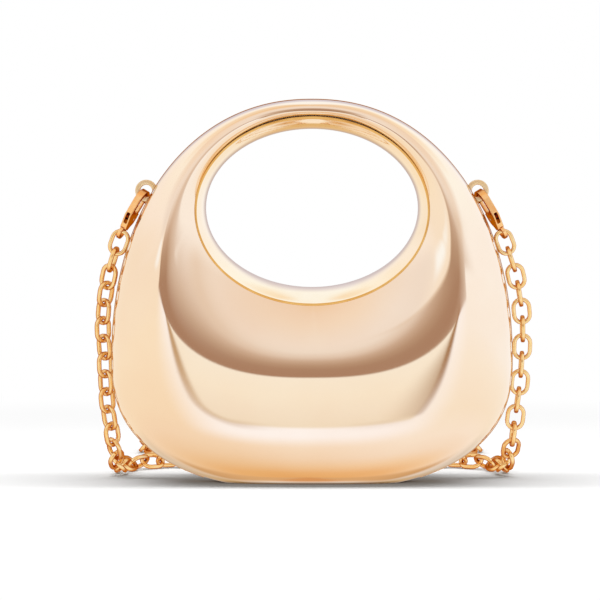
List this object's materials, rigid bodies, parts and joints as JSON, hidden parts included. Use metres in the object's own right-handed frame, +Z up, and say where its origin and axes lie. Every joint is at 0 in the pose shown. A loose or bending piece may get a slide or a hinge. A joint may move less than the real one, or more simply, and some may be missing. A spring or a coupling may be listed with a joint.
{
  "type": "crossbody bag",
  "caption": "Hard clamshell bag in polished metal with an oval hole as its top handle, a bottom hinge and a detachable cable chain strap on lobster clasps.",
  "frame": {"origin": "middle of the base, on the parting plane between the two halves", "axes": "+X to the right seen from the front, +Y towards the back, +Z up"},
  "size_m": [0.2199, 0.2281, 0.1914],
  "materials": {
    "shell": "mirror-polished pale gold plating",
    "collar": "polished yellow gold plating",
    "rim": "polished gold plating",
    "lining": "soft matte",
    "hinge": "satin",
    "steel": "satin",
    "magnet": "nickel plating",
    "eyelet": "polished gold plating",
    "clasp": "polished rose gold plating",
    "chain": "polished rose gold plating"
  },
  "bodies": {
    "back_half": {"back_shell": "shell", "back_rim": "rim", "back_collar": "collar", "back_lining": "lining", "back_hinge_leaf": "hinge", "hinge_pin": "hinge", "back_hinge_screws": "steel", "back_magnets": "magnet", "left_eyelet": "eyelet", "right_eyelet": "eyelet", "eyelet_rivets": "eyelet", "left_clasp": "clasp", "left_trigger_rivet": "clasp", "left_trigger_spring": "steel", "right_clasp": "clasp", "right_trigger_rivet": "clasp", "right_trigger_spring": "steel", "left_chain": "chain", "left_chain_slack": "chain", "right_chain_slack": "chain", "right_chain": "chain"},
    "front_half": {"front_shell": "shell", "front_rim": "rim", "front_collar": "collar", "front_lining": "lining", "front_hinge_leaf": "hinge", "front_hinge_screws": "steel", "front_magnets": "magnet"},
    "left_trigger": {"left_trigger": "clasp"},
    "right_trigger": {"right_trigger": "clasp"}
  },
  "joints": [
    {"name": "front_opening", "type": "hinge", "parent": "back_half", "child": "front_half", "pos_m": [0, 0, 0.0019], "axis": [1, 0, 0], "range_deg": [0, 65]},
    {"name": "left_trigger_swing", "type": "hinge", "parent": "back_half", "child": "left_trigger", "pos_m": [-0.09072, 0.0034, 0.13204], "axis": [0.8317, -0.2419, -0.4997], "range_deg": [0, 17], "stiffness_Nm_per_rad": 0.01, "springref_deg": -22.92, "deforming": ["left_trigger_spring"]},
    {"name": "right_trigger_swing", "type": "hinge", "parent": "back_half", "child": "right_trigger", "pos_m": [0.09072, 0.0034, 0.13204], "axis": [0.8317, 0.2419, 0.4997], "range_deg": [0, 17], "stiffness_Nm_per_rad": 0.01, "springref_deg": -22.92, "deforming": ["right_trigger_spring"]}
  ]
}
